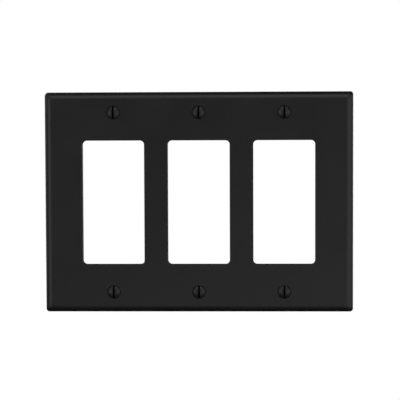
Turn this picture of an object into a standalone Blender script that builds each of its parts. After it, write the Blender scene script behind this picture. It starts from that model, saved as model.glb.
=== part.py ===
"""Three-gang wall plate cover with decorator openings: one moulded plate, six screws, six retainers.

Every shape is drawn in the plate's own frame: x to the right as seen from the room, y up, z out of
the wall. The empty named wall_frame turns that frame so that the world has +Z up and the plate faces
-Y. The origin is the centre of the plate on the wall plane. Sizes are in metres.
"""

from itertools import pairwise
from math import asin, cos, pi, radians, sin, tan

import bmesh
import bpy

INCH = 0.0254

# The interface that every wiring device and box of this standard shares.
GANG_PITCH = 1.8125 * INCH
SCREW_SPACING = 3.8125 * INCH
OPENING_WIDTH = 0.0333
OPENING_HEIGHT = 0.0668
THREAD_DIAMETER = 0.138 * INCH
THREAD_PITCH = INCH / 32
COUNTERSINK_ANGLE = radians(82)

# The plate.
PLATE_WIDTH = 6.5625 * INCH
PLATE_HEIGHT = 4.6875 * INCH
PLATE_DEPTH = 0.0060
FACE_THICKNESS = 0.0023
RIM_WIDTH = 0.0020
EDGE_WIDTH = 0.0040
EDGE_DEPTH = 0.0026
SKIRT_DRAFT = 0.0003
OUTLINE_RADIUS = 0.0017
FACE_RADIUS = 0.0013
CAVITY_RADIUS = 0.0010
CAVITY_DRAFT = 0.0004
CAVITY_FILLET = 0.0006
OPENING_RADIUS = 0.0022
OPENING_CHAMFER = 0.0004

# What stands on the back of the face.
COLLAR_WALL = 0.0014
COLLAR_HEIGHT = 0.0016
RIB_WALL = 0.0012
RIB_HEIGHT = 0.0014
CROSS_RIB_OFFSET = 0.0056
BOSS_DIAMETER = 0.0090
BOSS_RECESS = 0.0010
FUSE_DEPTH = 0.0006

# Screw holes, screws and their retainers.
HOLE_DIAMETER = 0.0042
COUNTERSINK_DIAMETER = 0.0073
HEAD_DIAMETER = 0.0066
HEAD_CROWN = 0.0009
HEAD_LAND = 0.00015
SCREW_LENGTH = 0.5 * INCH
POINT_CHAMFER = 0.0005
SLOT_WIDTH = 0.0010
SLOT_DEPTH = 0.00135
RETAINER_DIAMETER = 0.0078
RETAINER_BORE = 0.0041
RETAINER_THICKNESS = 0.0009
RETAINER_CHAMFER = 0.00015
BACK_OUT_TURNS = 5.75
RUNNING_GAP = 0.0003

# Worked out from the sizes above.
FACE_BACK = PLATE_DEPTH - FACE_THICKNESS
CONE_SLOPE = tan(COUNTERSINK_ANGLE / 2)
BACK_OUT_TRAVEL = BACK_OUT_TURNS * THREAD_PITCH
RETAINER_FRONT = BOSS_RECESS - BACK_OUT_TRAVEL - RUNNING_GAP

# How finely round shapes are divided.
CORNER_STEPS = 6
EDGE_STEPS = 7
CROWN_STEPS = 5
ROUND_STEPS = 32

OVERSHOOT = 0.0010
SHARP_ANGLE = radians(35)

GANGS = {"left": -GANG_PITCH, "middle": 0.0, "right": GANG_PITCH}
ROWS = {"top": SCREW_SPACING / 2, "bottom": -SCREW_SPACING / 2}


def clear_scene():
    for item in list(bpy.data.objects):
        bpy.data.objects.remove(item)


def principled(name, colour, roughness, metallic=0.0):
    material = bpy.data.materials.new(name)
    material.use_nodes = True
    shader = material.node_tree.nodes["Principled BSDF"]
    shader.inputs["Base Color"].default_value = (*colour, 1.0)
    shader.inputs["Roughness"].default_value = roughness
    shader.inputs["Metallic"].default_value = metallic
    return material


def black_thermoplastic():
    return principled("black_thermoplastic", (0.013, 0.013, 0.013), 0.42)


def black_painted_steel():
    return principled("black_painted_steel", (0.013, 0.013, 0.014), 0.38)


def natural_nylon():
    return principled("natural_nylon", (0.72, 0.70, 0.63), 0.50)


def rounded_rectangle(width, height, radius, depth, centre=(0.0, 0.0)):
    """The points of one outline, anticlockwise as seen from the room."""
    points = []
    for quarter, (side, end) in enumerate(((1, 1), (-1, 1), (-1, -1), (1, -1))):
        corner_x = centre[0] + side * (width / 2 - radius)
        corner_y = centre[1] + end * (height / 2 - radius)
        for step in range(CORNER_STEPS + 1):
            angle = (quarter + step / CORNER_STEPS) * pi / 2
            points.append((corner_x + radius * cos(angle), corner_y + radius * sin(angle), depth))
    return points


def rectangle(width, height, depth, centre=(0.0, 0.0)):
    corners = ((1, 1), (-1, 1), (-1, -1), (1, -1))
    return [(centre[0] + x * width / 2, centre[1] + y * height / 2, depth) for x, y in corners]


def circle(diameter, depth, centre=(0.0, 0.0)):
    angles = [2 * pi * step / ROUND_STEPS for step in range(ROUND_STEPS)]
    radius = diameter / 2
    return [(centre[0] + radius * cos(a), centre[1] + radius * sin(a), depth) for a in angles]


def loft(body, outlines, ring=False):
    """Adds the closed body that runs through a list of outlines: capped at both ends, or a ring."""
    loops = [[body.verts.new(point) for point in outline] for outline in outlines]
    joined = [*pairwise(loops), (loops[-1], loops[0])] if ring else pairwise(loops)
    for lower, upper in joined:
        for i, vertex in enumerate(lower):
            following = (i + 1) % len(lower)
            body.faces.new((vertex, lower[following], upper[following], upper[i]))
    if not ring:
        body.faces.new(reversed(loops[0]))
        body.faces.new(loops[-1])


def mesh_of(name, *bodies, ring=False):
    """One mesh that holds the body of each list of outlines."""
    shape = bmesh.new()
    for outlines in bodies:
        loft(shape, outlines, ring)
    bmesh.ops.recalc_face_normals(shape, faces=shape.faces)
    mesh = bpy.data.meshes.new(name)
    shape.to_mesh(mesh)
    shape.free()
    return mesh


def shade_round(mesh):
    mesh.shade_smooth()
    mesh.set_sharp_from_angle(angle=SHARP_ANGLE)


def place(name, mesh, frame, location=(0.0, 0.0, 0.0)):
    item = bpy.data.objects.new(name, mesh)
    item.parent = frame
    item.location = location
    bpy.context.scene.collection.objects.link(item)
    return item


def helper(name, mesh, frame):
    """A shape that only joins or cuts another."""
    item = place(name, mesh, frame)
    item.hide_render = True
    item.display_type = "WIRE"
    return item


def combine(item, operation, other):
    modifier = item.modifiers.new(other.name, "BOOLEAN")
    modifier.operation = operation
    modifier.solver = "EXACT"
    modifier.object = other


def turned_wall_frame():
    """Everything hangs on this empty, which stands the plate up with its face to -Y."""
    frame = bpy.data.objects.new("wall_frame", None)
    frame.rotation_euler = (radians(90), 0.0, 0.0)
    bpy.context.scene.collection.objects.link(frame)
    return frame


def gang_centres():
    return [(x, 0.0) for x in GANGS.values()]


def screw_centres():
    return [(x, y) for x in GANGS.values() for y in ROWS.values()]


def plate_outline(inset, depth, radius):
    return rounded_rectangle(PLATE_WIDTH - 2 * inset, PLATE_HEIGHT - 2 * inset, radius, depth)


def shell_outlines():
    """The moulding without its openings: up the cavity's walls, over the rim and round the front edge."""
    wall_foot = RIM_WIDTH + CAVITY_DRAFT
    outlines = [
        plate_outline(wall_foot + CAVITY_FILLET, FACE_BACK, CAVITY_RADIUS),
        plate_outline(wall_foot, FACE_BACK - CAVITY_FILLET, CAVITY_RADIUS),
        plate_outline(RIM_WIDTH, 0.0, CAVITY_RADIUS),
        plate_outline(0.0, 0.0, OUTLINE_RADIUS),
    ]
    for step in range(EDGE_STEPS + 1):
        angle = pi / 2 * step / EDGE_STEPS
        inset = SKIRT_DRAFT + EDGE_WIDTH * (1 - cos(angle))
        depth = PLATE_DEPTH - EDGE_DEPTH * (1 - sin(angle))
        share = inset / (SKIRT_DRAFT + EDGE_WIDTH)
        radius = OUTLINE_RADIUS + share * (FACE_RADIUS - OUTLINE_RADIUS)
        outlines.append(plate_outline(inset, depth, radius))
    return outlines


def opening_outline(growth, depth, centre):
    width = OPENING_WIDTH + 2 * growth
    height = OPENING_HEIGHT + 2 * growth
    return rounded_rectangle(width, height, OPENING_RADIUS + growth, depth, centre)


def collar_outlines(centre):
    depths = (FACE_BACK - COLLAR_HEIGHT, FACE_BACK + FUSE_DEPTH)
    return [opening_outline(COLLAR_WALL, depth, centre) for depth in depths]


def opening_outlines(centre):
    """Straight through the collar and face, then flared into a small chamfer at the front."""
    return [
        opening_outline(0.0, -OVERSHOOT, centre),
        opening_outline(0.0, PLATE_DEPTH - OPENING_CHAMFER, centre),
        opening_outline(OPENING_CHAMFER + OVERSHOOT, PLATE_DEPTH + OVERSHOOT, centre),
    ]


def boss_outlines(centre):
    return [circle(BOSS_DIAMETER, depth, centre) for depth in (BOSS_RECESS, FACE_BACK + FUSE_DEPTH)]


def screw_hole_outlines(centre):
    cone_height = (COUNTERSINK_DIAMETER - HOLE_DIAMETER) / 2 / CONE_SLOPE
    mouth = COUNTERSINK_DIAMETER + 2 * OVERSHOOT * CONE_SLOPE
    return [
        circle(HOLE_DIAMETER, BOSS_RECESS - OVERSHOOT, centre),
        circle(HOLE_DIAMETER, PLATE_DEPTH - cone_height, centre),
        circle(mouth, PLATE_DEPTH + OVERSHOOT, centre),
    ]


def rib_outlines(width, height, centre):
    depths = (FACE_BACK - RIB_HEIGHT, FACE_BACK + FUSE_DEPTH)
    return [rectangle(width, height, depth, centre) for depth in depths]


def upright_ribs():
    """One rib down the middle of each bar between two openings, from rim to rim."""
    return [
        rib_outlines(RIB_WALL, PLATE_HEIGHT - RIM_WIDTH, (side * GANG_PITCH / 2, 0.0))
        for side in (-1, 1)
    ]


def cross_ribs():
    """One rib across the plate above the openings and one below, from rim to rim."""
    offset = OPENING_HEIGHT / 2 + CROSS_RIB_OFFSET
    return [rib_outlines(PLATE_WIDTH - RIM_WIDTH, RIB_WALL, (0.0, side * offset)) for side in (-1, 1)]


def make_plate(frame, material):
    plate = place("cover_plate", mesh_of("cover_plate", shell_outlines()), frame)
    plate.data.materials.append(material)
    gangs = gang_centres()
    screws = screw_centres()
    steps = (
        ("collars", "UNION", map(collar_outlines, gangs)),
        ("bosses", "UNION", map(boss_outlines, screws)),
        ("upright_ribs", "UNION", upright_ribs()),
        ("cross_ribs", "UNION", cross_ribs()),
        ("openings", "DIFFERENCE", map(opening_outlines, gangs)),
        ("screw_holes", "DIFFERENCE", map(screw_hole_outlines, screws)),
    )
    for name, operation, bodies in steps:
        combine(plate, operation, helper(name, mesh_of(name, *bodies), frame))


def screw_outlines():
    """From the point up to the crown, with the plane of the head's rim at zero."""
    cone_height = (HEAD_DIAMETER - THREAD_DIAMETER) / 2 / CONE_SLOPE
    outlines = [
        circle(THREAD_DIAMETER - 2 * POINT_CHAMFER, -SCREW_LENGTH),
        circle(THREAD_DIAMETER, POINT_CHAMFER - SCREW_LENGTH),
        circle(THREAD_DIAMETER, -HEAD_LAND - cone_height),
        circle(HEAD_DIAMETER, -HEAD_LAND),
    ]
    crown_radius = (HEAD_DIAMETER**2 / 4 + HEAD_CROWN**2) / (2 * HEAD_CROWN)
    rim_angle = asin(HEAD_DIAMETER / 2 / crown_radius)
    for step in range(CROWN_STEPS):
        angle = rim_angle * (1 - step / CROWN_STEPS)
        depth = HEAD_CROWN - crown_radius * (1 - cos(angle))
        outlines.append(circle(2 * crown_radius * sin(angle), depth))
    return outlines


def slotted_screw_mesh(material):
    """The screw with its slot cut, as one mesh for all six."""
    blank = place("blank", mesh_of("blank", screw_outlines()), None)
    slot_floor = HEAD_CROWN - SLOT_DEPTH
    length = HEAD_DIAMETER + 2 * OVERSHOOT
    slot = [rectangle(SLOT_WIDTH, length, depth) for depth in (slot_floor, HEAD_CROWN + OVERSHOOT)]
    cutter = helper("slot", mesh_of("slot", slot), None)
    combine(blank, "DIFFERENCE", cutter)
    graph = bpy.context.evaluated_depsgraph_get()
    mesh = bpy.data.meshes.new_from_object(blank.evaluated_get(graph))
    mesh.materials.clear()
    mesh.materials.append(material)
    bpy.data.objects.remove(blank)
    bpy.data.objects.remove(cutter)
    shade_round(mesh)
    return mesh


def retainer_mesh(material):
    """A flat washer with its front face at zero and its outer edges broken."""
    back = -RETAINER_THICKNESS
    narrow = RETAINER_DIAMETER - 2 * RETAINER_CHAMFER
    section = (
        (RETAINER_BORE, 0.0),
        (RETAINER_BORE, back),
        (narrow, back),
        (RETAINER_DIAMETER, back + RETAINER_CHAMFER),
        (RETAINER_DIAMETER, -RETAINER_CHAMFER),
        (narrow, 0.0),
    )
    mesh = mesh_of("retainer", [circle(*point) for point in section], ring=True)
    mesh.materials.append(material)
    shade_round(mesh)
    return mesh


def make_fasteners(frame, screw_material, retainer_material):
    screw = slotted_screw_mesh(screw_material)
    retainer = retainer_mesh(retainer_material)
    for gang, x in GANGS.items():
        for row, y in ROWS.items():
            place(f"screw_{gang}_{row}", screw, frame, (x, y, PLATE_DEPTH))
            place(f"retainer_{gang}_{row}", retainer, frame, (x, y, RETAINER_FRONT))


clear_scene()
wall_frame = turned_wall_frame()
make_plate(wall_frame, black_thermoplastic())
make_fasteners(wall_frame, black_painted_steel(), natural_nylon())
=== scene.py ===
"""The looks of the three-gang wall plate cover: moulded plate, threaded screws and retainers.

Pieces are drawn as in a plate lying on its back: x to the right, y up, z out of the wall. Each object
is then turned a quarter about x, so that the plate stands with its face to -Y. Sizes are in metres.
"""

from itertools import pairwise
from math import asin, cos, floor, pi, radians, sin, tan

import bmesh
import bpy
from mathutils import Matrix, Vector


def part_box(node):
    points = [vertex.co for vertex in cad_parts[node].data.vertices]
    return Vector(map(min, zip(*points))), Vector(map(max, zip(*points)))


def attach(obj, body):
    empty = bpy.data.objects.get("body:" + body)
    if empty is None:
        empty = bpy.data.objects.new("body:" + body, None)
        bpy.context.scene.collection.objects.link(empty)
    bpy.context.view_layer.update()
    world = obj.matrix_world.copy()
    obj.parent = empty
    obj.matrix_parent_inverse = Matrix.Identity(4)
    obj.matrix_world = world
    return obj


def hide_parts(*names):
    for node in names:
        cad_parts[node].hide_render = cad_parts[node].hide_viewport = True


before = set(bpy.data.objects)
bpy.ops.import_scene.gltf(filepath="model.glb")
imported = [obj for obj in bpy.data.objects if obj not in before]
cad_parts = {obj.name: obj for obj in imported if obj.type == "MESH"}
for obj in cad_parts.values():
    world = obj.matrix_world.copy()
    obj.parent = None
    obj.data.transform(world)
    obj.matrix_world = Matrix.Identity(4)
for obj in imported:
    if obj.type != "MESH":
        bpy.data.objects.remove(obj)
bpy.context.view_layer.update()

UPRIGHT = Matrix.Rotation(radians(90), 4, "X")
MM = 0.001

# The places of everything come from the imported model.
PLATE_LOW, PLATE_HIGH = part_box("cover_plate")
PLATE_WIDTH = PLATE_HIGH.x - PLATE_LOW.x
PLATE_HEIGHT = PLATE_HIGH.z - PLATE_LOW.z
PLATE_DEPTH = -PLATE_LOW.y
GANGS = ("left", "middle", "right")
ROWS = ("top", "bottom")


def middle(node):
    low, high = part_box(node)
    return (low + high) / 2


GANG_X = [middle(f"screw_{gang}_top").x for gang in GANGS]
SCREW_Z = [middle(f"screw_middle_{row}").z for row in ROWS]
RETAINER_FRONT = -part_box("retainer_middle_top")[0].y

# The plate's edge, face and back, as in the solids but finer.
FACE_THICKNESS = 2.3 * MM
FACE_BACK = PLATE_DEPTH - FACE_THICKNESS
RIM_WIDTH = 2.0 * MM
EDGE_WIDTH = 4.0 * MM
EDGE_DEPTH = 2.6 * MM
SKIRT_DRAFT = 0.3 * MM
OUTLINE_RADIUS = 1.7 * MM
FACE_RADIUS = 1.3 * MM
CAVITY_RADIUS = 1.0 * MM
CAVITY_DRAFT = 0.4 * MM
CAVITY_FILLET = 0.6 * MM
RIM_BREAK = 0.15 * MM
OPENING_WIDTH = 33.3 * MM
OPENING_HEIGHT = 66.8 * MM
OPENING_RADIUS = 2.2 * MM
OPENING_FILLET = 0.4 * MM
COLLAR_WALL = 1.4 * MM
COLLAR_HEIGHT = 1.6 * MM
RIB_WALL = 1.2 * MM
RIB_HEIGHT = 1.4 * MM
CROSS_RIB_OFFSET = 5.6 * MM
BOSS_DIAMETER = 9.0 * MM
BOSS_RECESS = 1.0 * MM
FOOT_FILLET = 0.3 * MM
TOP_DRAFT = 0.12 * MM
FUSE_DEPTH = 0.6 * MM
PIN_MARK_DIAMETER = 4.0 * MM
PIN_MARK_DEPTH = 0.12 * MM
PIN_MARK_FROM_SIDE = 11.0 * MM
PIN_MARK_FROM_OPENING = 14.0 * MM
PIN_MARK_FROM_RIB = 4.4 * MM
MOUTH_ANGLE = radians(80)

# The crown of a screw's head starts at this share of the angle to its rim, which softens the rim.
CROWN_START = 0.985

# The flats of the thread, as shares of its pitch.
THREAD_CREST = 1 / 8
THREAD_ROOT = 1 / 4

# Edges of the slot's walls with a sharper turn than this, in radians, are rounded.
SLOT_CORNER = 0.5

# Screw holes, screws and retainers.
CONE_SLOPE = tan(radians(41))
HOLE_DIAMETER = 4.2 * MM
COUNTERSINK_DIAMETER = 7.3 * MM
HEAD_DIAMETER = 6.6 * MM
HEAD_CROWN = 0.9 * MM
HEAD_LAND = 0.15 * MM
THREAD_DIAMETER = 3.505 * MM
THREAD_PITCH = 0.79375 * MM
THREAD_DEPTH = 0.43 * MM
SCREW_LENGTH = 12.7 * MM
NECK_LENGTH = 0.5 * MM
POINT_CHAMFER = 0.5 * MM
SLOT_WIDTH = 1.0 * MM
SLOT_DEPTH = 1.35 * MM
SLOT_EDGE = 0.06 * MM
SLOT_TOLERANCE = 0.005 * MM
RETAINER_DIAMETER = 7.8 * MM
RETAINER_THICKNESS = 0.9 * MM
RETAINER_BORE = 3.62 * MM
RETAINER_EDGE = 0.15 * MM
FINGER_SLITS = 3
FINGER_SLIT = 0.45 * MM
FINGER_REACH = 2.75 * MM

CORNER_STEPS = 14
EDGE_STEPS = 14
FILLET_STEPS = 4
ROUND_STEPS = 64
CROWN_STEPS = 12
ROWS_PER_PITCH = 16
OVERSHOOT = 1.0 * MM
WELD_DISTANCE = 0.002 * MM
SHARP_ANGLE = radians(30)


# --- Shapes ---------------------------------------------------------------------------------------


def rounded_rectangle(width, height, radius, depth, centre=(0.0, 0.0)):
    """The points of one outline, anticlockwise as seen from the room."""
    points = []
    for quarter, (side, end) in enumerate(((1, 1), (-1, 1), (-1, -1), (1, -1))):
        corner_x = centre[0] + side * (width / 2 - radius)
        corner_y = centre[1] + end * (height / 2 - radius)
        for step in range(CORNER_STEPS + 1):
            angle = (quarter + step / CORNER_STEPS) * pi / 2
            points.append((corner_x + radius * cos(angle), corner_y + radius * sin(angle), depth))
    return points


def rectangle(width, height, depth, centre=(0.0, 0.0)):
    corners = ((1, 1), (-1, 1), (-1, -1), (1, -1))
    return [(centre[0] + x * width / 2, centre[1] + y * height / 2, depth) for x, y in corners]


def circle(diameter, depth, centre=(0.0, 0.0)):
    radius = diameter / 2
    angles = [2 * pi * step / ROUND_STEPS for step in range(ROUND_STEPS)]
    return [(centre[0] + radius * cos(a), centre[1] + radius * sin(a), depth) for a in angles]


def loft(body, outlines, ring=False):
    """Adds the closed body that runs through a list of outlines: capped at both ends, or a ring."""
    loops = [[body.verts.new(point) for point in outline] for outline in outlines]
    joined = [*pairwise(loops), (loops[-1], loops[0])] if ring else pairwise(loops)
    for lower, upper in joined:
        for i, vertex in enumerate(lower):
            following = (i + 1) % len(lower)
            body.faces.new((vertex, lower[following], upper[following], upper[i]))
    if not ring:
        body.faces.new(reversed(loops[0]))
        body.faces.new(loops[-1])


def mesh_of(name, *bodies, ring=False):
    shape = bmesh.new()
    for outlines in bodies:
        loft(shape, outlines, ring)
    bmesh.ops.recalc_face_normals(shape, faces=shape.faces)
    mesh = bpy.data.meshes.new(name)
    shape.to_mesh(mesh)
    shape.free()
    return mesh


def clean_up(mesh):
    """Welds points that all but touch, and splits the many-sided faces into well-shaped triangles."""
    shape = bmesh.new()
    shape.from_mesh(mesh)
    bmesh.ops.remove_doubles(shape, verts=shape.verts, dist=WELD_DISTANCE)
    many_sided = [face for face in shape.faces if len(face.verts) > 4]
    bmesh.ops.triangulate(shape, faces=many_sided, ngon_method="BEAUTY")
    shape.to_mesh(mesh)
    shape.free()


def combined(name, mesh, steps):
    """The mesh after a list of (operation, other mesh) Booleans, each other mesh being used up."""
    item = bpy.data.objects.new(name, mesh)
    bpy.context.scene.collection.objects.link(item)
    others = []
    for operation, other_mesh in steps:
        other = bpy.data.objects.new(other_mesh.name, other_mesh)
        bpy.context.scene.collection.objects.link(other)
        others.append(other)
        modifier = item.modifiers.new(other.name, "BOOLEAN")
        modifier.operation = operation
        modifier.solver = "EXACT"
        modifier.object = other
    graph = bpy.context.evaluated_depsgraph_get()
    result = bpy.data.meshes.new_from_object(item.evaluated_get(graph))
    result.name = name
    for used in (item, *others):
        bpy.data.objects.remove(used)
    return result


def shade_round(mesh):
    mesh.shade_smooth()
    mesh.set_sharp_from_angle(angle=SHARP_ANGLE)


def add_piece(name, mesh, location=(0.0, 0.0, 0.0)):
    piece = bpy.data.objects.new(name, mesh)
    bpy.context.scene.collection.objects.link(piece)
    piece.matrix_world = Matrix.Translation(location) @ UPRIGHT
    return piece


# --- The plate ------------------------------------------------------------------------------------


def plate_outline(inset, depth, radius):
    return rounded_rectangle(PLATE_WIDTH - 2 * inset, PLATE_HEIGHT - 2 * inset, radius, depth)


def shell_outlines():
    """Up the cavity's walls, over the rim and round the front edge."""
    wall_foot = RIM_WIDTH + CAVITY_DRAFT
    outlines = []
    for step in range(FILLET_STEPS, -1, -1):
        angle = pi / 2 * step / FILLET_STEPS
        inset = wall_foot + CAVITY_FILLET * (1 - cos(angle))
        depth = FACE_BACK - CAVITY_FILLET * (1 - sin(angle))
        outlines.append(plate_outline(inset, depth, CAVITY_RADIUS))
    outlines += [
        plate_outline(RIM_WIDTH, RIM_BREAK, CAVITY_RADIUS),
        plate_outline(RIM_WIDTH - RIM_BREAK, 0.0, CAVITY_RADIUS + RIM_BREAK),
        plate_outline(RIM_BREAK, 0.0, OUTLINE_RADIUS - RIM_BREAK),
        plate_outline(0.0, RIM_BREAK, OUTLINE_RADIUS),
    ]
    for step in range(EDGE_STEPS + 1):
        angle = pi / 2 * step / EDGE_STEPS
        inset = SKIRT_DRAFT + EDGE_WIDTH * (1 - cos(angle))
        depth = PLATE_DEPTH - EDGE_DEPTH * (1 - sin(angle))
        share = inset / (SKIRT_DRAFT + EDGE_WIDTH)
        radius = OUTLINE_RADIUS + share * (FACE_RADIUS - OUTLINE_RADIUS)
        outlines.append(plate_outline(inset, depth, radius))
    return outlines


def opening_outline(growth, depth, x):
    width = OPENING_WIDTH + 2 * growth
    height = OPENING_HEIGHT + 2 * growth
    return rounded_rectangle(width, height, OPENING_RADIUS + growth, depth, (x, 0.0))


def opening_outlines(x):
    """Straight through the collar and face, then round a small fillet at the front."""
    outlines = [opening_outline(0.0, -OVERSHOOT, x)]
    for step in range(FILLET_STEPS + 1):
        angle = MOUTH_ANGLE * step / FILLET_STEPS
        growth = OPENING_FILLET * (1 - cos(angle))
        outlines.append(opening_outline(growth, PLATE_DEPTH - OPENING_FILLET * (1 - sin(angle)), x))
    outlines.append(opening_outline(OPENING_FILLET, PLATE_DEPTH + OVERSHOOT, x))
    return outlines


def standing_sizes(height):
    """(growth, depth) from the free end of a rib, collar or boss down to its foot in the face."""
    free_end = FACE_BACK - height
    return (
        (-2 * TOP_DRAFT, free_end),
        (-TOP_DRAFT, free_end + TOP_DRAFT),
        (0.0, FACE_BACK - FOOT_FILLET),
        (FOOT_FILLET, FACE_BACK),
        (FOOT_FILLET, FACE_BACK + FUSE_DEPTH),
    )


def collars():
    sizes = standing_sizes(COLLAR_HEIGHT)
    return [
        [opening_outline(COLLAR_WALL + growth, depth, x) for growth, depth in sizes]
        for x in GANG_X
    ]


def screw_centres():
    return [(x, z) for x in GANG_X for z in SCREW_Z]


def bosses():
    sizes = standing_sizes(FACE_BACK - BOSS_RECESS)
    return [
        [circle(BOSS_DIAMETER + 2 * growth, depth, centre) for growth, depth in sizes]
        for centre in screw_centres()
    ]


def rib(width, height, centre):
    sizes = standing_sizes(RIB_HEIGHT)
    return [rectangle(width + 2 * growth, height + 2 * growth, depth, centre) for growth, depth in sizes]


def upright_ribs():
    middles = [(a + b) / 2 for a, b in pairwise(GANG_X)]
    return [rib(RIB_WALL, PLATE_HEIGHT - RIM_WIDTH, (x, 0.0)) for x in middles]


def cross_ribs():
    offset = OPENING_HEIGHT / 2 + CROSS_RIB_OFFSET
    return [rib(PLATE_WIDTH - RIM_WIDTH, RIB_WALL, (0.0, side * offset)) for side in (-1, 1)]


def screw_holes():
    cone_height = (COUNTERSINK_DIAMETER - HOLE_DIAMETER) / 2 / CONE_SLOPE
    mouth = COUNTERSINK_DIAMETER + 2 * OVERSHOOT * CONE_SLOPE
    sizes = (
        (HOLE_DIAMETER, BOSS_RECESS - OVERSHOOT),
        (HOLE_DIAMETER, PLATE_DEPTH - cone_height),
        (mouth, PLATE_DEPTH + OVERSHOOT),
    )
    return [[circle(diameter, depth, centre) for diameter, depth in sizes] for centre in screw_centres()]


def pin_marks():
    """Shallow round marks that the mould's ejector pins leave on the back of the face."""
    reach_x = PLATE_WIDTH / 2 - PIN_MARK_FROM_SIDE
    reach_z = OPENING_HEIGHT / 2 + PIN_MARK_FROM_OPENING
    bar_x = GANG_X[2] / 2 + PIN_MARK_FROM_RIB
    places = [(x, z) for x in (-reach_x, reach_x) for z in (-reach_z, 0.0, reach_z)]
    places += [(x, z) for x in (-bar_x, bar_x) for z in (-reach_z, reach_z)]
    depths = (FACE_BACK - OVERSHOOT, FACE_BACK + PIN_MARK_DEPTH)
    return [[circle(PIN_MARK_DIAMETER, depth, place) for depth in depths] for place in places]


def make_plate():
    steps = (
        ("UNION", mesh_of("collars", *collars())),
        ("UNION", mesh_of("bosses", *bosses())),
        ("UNION", mesh_of("upright_ribs", *upright_ribs())),
        ("UNION", mesh_of("cross_ribs", *cross_ribs())),
        ("DIFFERENCE", mesh_of("pin_marks", *pin_marks())),
        ("DIFFERENCE", mesh_of("openings", *map(opening_outlines, GANG_X))),
        ("DIFFERENCE", mesh_of("screw_holes", *screw_holes())),
    )
    mesh = combined("moulded_plate", mesh_of("shell", shell_outlines()), steps)
    clean_up(mesh)
    shade_round(mesh)
    plate = add_piece("moulded_plate", mesh)
    weighting = plate.modifiers.new("weighted_normals", "WEIGHTED_NORMAL")
    weighting.keep_sharp = True
    plate.data.materials.clear()
    plate.data.materials.append(black_thermoplastic())
    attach(plate, "plate")
    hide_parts("cover_plate")


# --- Screws and retainers -------------------------------------------------------------------------


def thread_radius(angle, depth, start):
    """A 60 degree thread with flats at crest and root, fading in under the neck."""
    turn = (depth - start) / THREAD_PITCH + angle / (2 * pi)
    phase = abs(turn - floor(turn) - 0.5) * 2
    share = min(1.0, max(0.0, (phase - THREAD_ROOT) / (1 - THREAD_CREST - THREAD_ROOT)))
    fade = min(1.0, max(0.0, (start - depth) / THREAD_PITCH))
    point = min(1.0, max(0.0, (depth + SCREW_LENGTH) / POINT_CHAMFER))
    cut = THREAD_DEPTH * (1 - share) * fade
    return min(THREAD_DIAMETER / 2 - cut, THREAD_DIAMETER / 2 - POINT_CHAMFER * (1 - point))


def thread_outlines(start):
    step = THREAD_PITCH / ROWS_PER_PITCH
    rows = int((SCREW_LENGTH + start) / step)
    depths = [-SCREW_LENGTH + (SCREW_LENGTH + start) * row / rows for row in range(rows + 1)]
    outlines = []
    for depth in depths:
        outline = []
        for side in range(ROUND_STEPS):
            angle = 2 * pi * side / ROUND_STEPS
            radius = thread_radius(angle, depth, start)
            outline.append((radius * cos(angle), radius * sin(angle), depth))
        outlines.append(outline)
    return outlines


def screw_outlines():
    """From the point up to the crown, with the plane of the head's rim at zero."""
    cone_height = (HEAD_DIAMETER - THREAD_DIAMETER) / 2 / CONE_SLOPE
    cone_foot = -HEAD_LAND - cone_height
    outlines = thread_outlines(cone_foot - NECK_LENGTH)
    outlines += [
        circle(THREAD_DIAMETER, cone_foot),
        circle(HEAD_DIAMETER, -HEAD_LAND),
        circle(HEAD_DIAMETER, -HEAD_LAND / 3),
    ]
    crown_radius = (HEAD_DIAMETER**2 / 4 + HEAD_CROWN**2) / (2 * HEAD_CROWN)
    rim_angle = asin(HEAD_DIAMETER / 2 / crown_radius)
    for step in range(CROWN_STEPS):
        angle = rim_angle * CROWN_START * (1 - step / CROWN_STEPS)
        depth = HEAD_CROWN - crown_radius * (1 - cos(angle))
        outlines.append(circle(2 * crown_radius * sin(angle), depth))
    return outlines


def round_slot_edges(mesh):
    shape = bmesh.new()
    shape.from_mesh(mesh)
    lowest = HEAD_CROWN - SLOT_DEPTH + SLOT_TOLERANCE

    def on_wall(vertex):
        return abs(abs(vertex.co.x) - SLOT_WIDTH / 2) < SLOT_TOLERANCE and vertex.co.z > lowest

    wall_edges = [edge for edge in shape.edges if all(map(on_wall, edge.verts))]
    edges = [edge for edge in wall_edges if edge.calc_face_angle(0) > SLOT_CORNER]
    bmesh.ops.bevel(shape, geom=edges, offset=SLOT_EDGE, segments=2, profile=0.5, affect="EDGES")
    shape.to_mesh(mesh)
    shape.free()


# The places of the second and third of a screw's three materials: zinc, and the painted shade in the
# slot.
ZINC, SLOT_PAINTED_SHADE = 1, 2


def make_screw_mesh():
    slot_floor = HEAD_CROWN - SLOT_DEPTH
    length = HEAD_DIAMETER + 2 * OVERSHOOT
    slot = [rectangle(SLOT_WIDTH, length, depth) for depth in (slot_floor, HEAD_CROWN + OVERSHOOT)]
    blank = mesh_of("blank", screw_outlines())
    mesh = combined("slotted_screw", blank, [("DIFFERENCE", mesh_of("slot", slot))])
    round_slot_edges(mesh)
    clean_up(mesh)
    mesh.materials.clear()
    for material in (black_paint(), zinc_plate(), slot_painted_shade()):
        mesh.materials.append(material)
    cone_foot = -HEAD_LAND - (HEAD_DIAMETER - THREAD_DIAMETER) / 2 / CONE_SLOPE
    slot_side = SLOT_WIDTH / 2 + SLOT_TOLERANCE
    # The thread takes zinc; the faces down in the slot take the painted shade.
    for face in mesh.polygons:
        if face.center.z < cone_foot:
            face.material_index = ZINC
        elif face.center.z > slot_floor - SLOT_TOLERANCE and abs(face.center.x) < slot_side:
            face.material_index = SLOT_PAINTED_SHADE
    shade_round(mesh)
    return mesh


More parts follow.
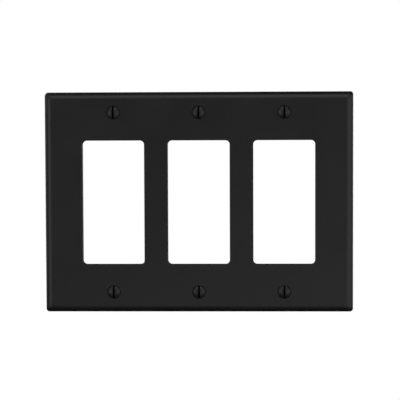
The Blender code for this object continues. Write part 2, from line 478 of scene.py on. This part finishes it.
def make_retainer_mesh():
    """A nylon washer whose bore is split into fingers that grip the thread."""
    back = -RETAINER_THICKNESS
    narrow = RETAINER_DIAMETER - 2 * RETAINER_EDGE
    section = (
        (RETAINER_BORE, -RETAINER_EDGE),
        (RETAINER_BORE, back + RETAINER_EDGE),
        (RETAINER_BORE + 2 * RETAINER_EDGE, back),
        (narrow, back),
        (RETAINER_DIAMETER, back + RETAINER_EDGE),
        (RETAINER_DIAMETER, -RETAINER_EDGE),
        (narrow, 0.0),
        (RETAINER_BORE + 2 * RETAINER_EDGE, 0.0),
    )
    washer = mesh_of("retainer", [circle(*point) for point in section], ring=True)
    slits = []
    for turn in range(FINGER_SLITS):
        angle = pi * turn / FINGER_SLITS
        slit = []
        for depth in (back - OVERSHOOT, OVERSHOOT):
            corners = rectangle(2 * FINGER_REACH, FINGER_SLIT, depth)
            slit.append([Matrix.Rotation(angle, 3, "Z") @ Vector(corner) for corner in corners])
        slits.append(slit)
    cuts = [("DIFFERENCE", mesh_of(f"slit_{i}", slit)) for i, slit in enumerate(slits)]
    mesh = combined("retainer", washer, cuts)
    clean_up(mesh)
    mesh.materials.clear()
    mesh.materials.append(natural_nylon())
    shade_round(mesh)
    return mesh


def make_fasteners():
    screw_mesh = make_screw_mesh()
    retainer_mesh = make_retainer_mesh()
    for gang, x in zip(GANGS, GANG_X):
        for row, z in zip(ROWS, SCREW_Z):
            screw = add_piece(f"slotted_screw_{gang}_{row}", screw_mesh, (x, -PLATE_DEPTH, z))
            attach(screw, f"screw_{gang}_{row}")
            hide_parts(f"screw_{gang}_{row}")
            retainer = add_piece(f"thread_retainer_{gang}_{row}", retainer_mesh, (x, -RETAINER_FRONT, z))
            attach(retainer, f"retainer_{gang}_{row}")
            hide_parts(f"retainer_{gang}_{row}")


# --- Materials ------------------------------------------------------------------------------------


def shader_node(tree, kind, inputs=(), **settings):
    made = tree.nodes.new(kind)
    for name, value in settings.items():
        setattr(made, name, value)
    for name, value in dict(inputs).items():
        if isinstance(value, bpy.types.NodeSocket):
            tree.links.new(value, made.inputs[name])
        else:
            made.inputs[name].default_value = value
    return made


def new_material(name):
    material = bpy.data.materials.new(name)
    material.use_nodes = True
    tree = material.node_tree
    place = shader_node(tree, "ShaderNodeTexCoord").outputs["Object"]
    return material, tree, tree.nodes["Principled BSDF"], place


def noise(tree, place, scale, detail=3.0, roughness=0.5):
    inputs = {"Vector": place, "Scale": scale, "Detail": detail, "Roughness": roughness}
    return shader_node(tree, "ShaderNodeTexNoise", inputs).outputs["Fac"]


def spread(tree, value, low, high, from_low=0.3, from_high=0.7):
    """The value, moved from the middle of its range to low..high."""
    inputs = {"Value": value, "From Min": from_low, "From Max": from_high, "To Min": low, "To Max": high}
    return shader_node(tree, "ShaderNodeMapRange", inputs).outputs["Result"]


# A mix node repeats its sockets for numbers, vectors and colours, so the colour ones go by number.
MIX_FACTOR, MIX_FIRST, MIX_SECOND, MIX_RESULT = 0, 6, 7, 2


def set_colour(tree, shader, share, first, second):
    mixed = tree.nodes.new("ShaderNodeMix")
    mixed.data_type = "RGBA"
    tree.links.new(share, mixed.inputs[MIX_FACTOR])
    mixed.inputs[MIX_FIRST].default_value = (*first, 1.0)
    mixed.inputs[MIX_SECOND].default_value = (*second, 1.0)
    tree.links.new(mixed.outputs[MIX_RESULT], shader.inputs["Base Color"])


def set_bump(tree, shader, height, distance, strength):
    inputs = {"Height": height, "Distance": distance, "Strength": strength}
    bump = shader_node(tree, "ShaderNodeBump", inputs)
    tree.links.new(bump.outputs["Normal"], shader.inputs["Normal"])


def black_thermoplastic():
    """Moulded semi-matte black with a fine even grain."""
    material, tree, shader, place = new_material("black_thermoplastic")
    cloud = noise(tree, place, scale=45.0)
    grain = noise(tree, place, scale=4200.0, detail=4.0, roughness=0.6)
    shade = spread(tree, cloud, 0.0, 1.0)
    set_colour(tree, shader, shade, (0.0115, 0.0115, 0.0117), (0.0140, 0.0140, 0.0141))
    tree.links.new(spread(tree, cloud, 0.37, 0.42), shader.inputs["Roughness"])
    set_bump(tree, shader, grain, distance=0.012 * MM, strength=0.5)
    return material


def black_paint():
    """Satin paint over the steel head, a little uneven."""
    material, tree, shader, place = new_material("black_paint")
    peel = noise(tree, place, scale=1400.0, detail=2.0)
    cloud = noise(tree, place, scale=260.0)
    set_colour(tree, shader, spread(tree, cloud, 0.0, 1.0), (0.014, 0.014, 0.015), (0.020, 0.020, 0.021))
    tree.links.new(spread(tree, cloud, 0.32, 0.44), shader.inputs["Roughness"])
    shader.inputs["Specular IOR Level"].default_value = 0.43
    set_bump(tree, shader, peel, distance=0.02 * MM, strength=0.5)
    return material


def slot_painted_shade():
    """Painted shade down in the slot: its walls and floor are coloured near black and made dull, much
    darker than the head's paint, to stand in for the shade that falls in it.
    """
    material, tree, shader, place = new_material("slot_painted_shade")
    cloud = noise(tree, place, scale=900.0)
    shade = spread(tree, cloud, 0.0, 1.0)
    set_colour(tree, shader, shade, (0.0015, 0.0015, 0.0015), (0.0035, 0.0035, 0.0035))
    tree.links.new(spread(tree, cloud, 0.75, 0.90), shader.inputs["Roughness"])
    shader.inputs["Specular IOR Level"].default_value = 0.08
    set_bump(tree, shader, cloud, distance=0.02 * MM, strength=0.5)
    return material


def zinc_plate():
    material, tree, shader, place = new_material("zinc_plate")
    cloud = noise(tree, place, scale=900.0, detail=4.0)
    set_colour(tree, shader, spread(tree, cloud, 0.0, 1.0), (0.50, 0.51, 0.52), (0.66, 0.66, 0.64))
    shader.inputs["Metallic"].default_value = 1.0
    tree.links.new(spread(tree, cloud, 0.24, 0.38), shader.inputs["Roughness"])
    set_bump(tree, shader, cloud, distance=0.01 * MM, strength=0.4)
    return material


def natural_nylon():
    material, tree, shader, place = new_material("natural_nylon")
    cloud = noise(tree, place, scale=500.0)
    set_colour(tree, shader, spread(tree, cloud, 0.0, 1.0), (0.70, 0.68, 0.60), (0.78, 0.76, 0.70))
    tree.links.new(spread(tree, cloud, 0.42, 0.55), shader.inputs["Roughness"])
    shader.inputs["Subsurface Weight"].default_value = 0.25
    shader.inputs["Subsurface Radius"].default_value = (1.0, 0.9, 0.7)
    shader.inputs["Subsurface Scale"].default_value = 0.6 * MM
    set_bump(tree, shader, cloud, distance=0.01 * MM, strength=0.4)
    return material


# --- The studio -----------------------------------------------------------------------------------

CAMERA_DISTANCE = 0.75
CAMERA_AZIMUTH = radians(1.8)
CAMERA_ELEVATION = radians(2.8)
CAMERA_ROLL = radians(-0.21)
CAMERA_SIDE = 0.2169
AIM = Vector((0.0005, 0.0, 0.00106))
SENSOR = 36.0

LIGHT_DISTANCE = 1.1

# Brightness next to a white screen's.
KEY = 1.5
EVEN = 1.0
SOFT = 0.5
REAR = 2.5

# Each softbox: azimuth and elevation in degrees, width, height and brightness.
SOFTBOXES = {
    "top_softbox": (0, 40, 1.1, 0.5, KEY),
    "left_softbox": (-40, 0, 0.5, 0.7, KEY),
    "right_softbox": (40, 0, 0.8, 0.7, EVEN),
    "far_right_softbox": (75, 0, 0.4, 0.7, EVEN),
    "low_softbox": (25, -20, 0.4, 0.4, SOFT),
    "low_front_softbox": (0, -15, 0.4, 0.3, EVEN),
    "side_softbox": (-100, 10, 0.6, 0.7, EVEN),
    "rear_left_softbox": (240, 40, 0.8, 0.6, REAR),
    "rear_right_softbox": (140, 5, 0.6, 0.6, REAR),
}
FILL = 0.02

FLOOR_DROP = 0.42
FLOOR_SIDE = 3.0
FLOOR_GLOW = 0.62
FLOOR_FADE_START = 0.3


def direction(azimuth, elevation):
    """From the plate towards a place: azimuth 0 is in front of it, and 90 degrees is to its right."""
    flat = cos(elevation)
    return Vector((sin(azimuth) * flat, -cos(azimuth) * flat, sin(elevation)))


def make_camera():
    data = bpy.data.cameras.new("camera")
    data.sensor_width = SENSOR
    data.lens = SENSOR * CAMERA_DISTANCE / CAMERA_SIDE
    camera = bpy.data.objects.new("camera", data)
    back = direction(CAMERA_AZIMUTH, CAMERA_ELEVATION)
    camera.location = AIM + back * CAMERA_DISTANCE
    turn = back.to_track_quat("Z", "Y").to_matrix() @ Matrix.Rotation(CAMERA_ROLL, 3, "Z")
    camera.rotation_euler = turn.to_euler()
    bpy.context.scene.collection.objects.link(camera)
    bpy.context.scene.camera = camera


def add_softbox(name, azimuth, elevation, width, height, brightness):
    data = bpy.data.lights.new(name, "AREA")
    data.shape = "RECTANGLE"
    data.size = width
    data.size_y = height
    data.energy = brightness * pi * width * height
    lamp = bpy.data.objects.new(name, data)
    towards = direction(radians(azimuth), radians(elevation))
    lamp.location = towards * LIGHT_DISTANCE
    lamp.rotation_euler = towards.to_track_quat("Z", "Y").to_euler()
    lamp.visible_camera = False
    bpy.context.scene.collection.objects.link(lamp)


def make_world():
    """White to the camera, and a dim even fill for everything else."""
    world = bpy.data.worlds.new("studio")
    bpy.context.scene.world = world
    world.use_nodes = True
    tree = world.node_tree
    tree.nodes.clear()
    fill = shader_node(tree, "ShaderNodeBackground", {"Color": (1, 1, 1, 1), "Strength": FILL})
    white = shader_node(tree, "ShaderNodeBackground", {"Color": (1, 1, 1, 1), "Strength": 1.0})
    rays = shader_node(tree, "ShaderNodeLightPath")
    mixed = shader_node(tree, "ShaderNodeMixShader", {"Fac": rays.outputs["Is Camera Ray"]})
    tree.links.new(fill.outputs[0], mixed.inputs[1])
    tree.links.new(white.outputs[0], mixed.inputs[2])
    output = tree.nodes.new("ShaderNodeOutputWorld")
    tree.links.new(mixed.outputs[0], output.inputs["Surface"])


def make_floor():
    """A pale floor far below, fading to the white of the background.

    It sends no light back to the plate.
    """
    side = FLOOR_SIDE / 2
    mesh = bpy.data.meshes.new("floor")
    corners = [(x * side, y * side, 0.0) for x, y in ((-1, -1), (1, -1), (1, 1), (-1, 1))]
    mesh.from_pydata(corners, [], [(0, 1, 2, 3)])
    material, tree, shader, place = new_material("pale_floor")
    reach = shader_node(tree, "ShaderNodeVectorMath", {0: place}, operation="LENGTH").outputs["Value"]
    glow = spread(tree, reach, FLOOR_GLOW, 1.0, FLOOR_FADE_START, side)
    cloud = noise(tree, place, scale=3.0)
    set_colour(tree, shader, cloud, (0.30, 0.30, 0.30), (0.32, 0.32, 0.32))
    shader.inputs["Roughness"].default_value = 0.8
    shader.inputs["Emission Color"].default_value = (1.0, 1.0, 1.0, 1.0)
    tree.links.new(glow, shader.inputs["Emission Strength"])
    mesh.materials.append(material)
    item = bpy.data.objects.new("floor", mesh)
    item.location = (0.0, 0.0, -FLOOR_DROP)
    item.visible_glossy = False
    item.visible_diffuse = False
    bpy.context.scene.collection.objects.link(item)


make_plate()
make_fasteners()
make_camera()
for softbox, values in SOFTBOXES.items():
    add_softbox(softbox, *values)
make_world()
make_floor()
bpy.context.scene.view_settings.view_transform = "Standard"

bpy.context.view_layer.update()
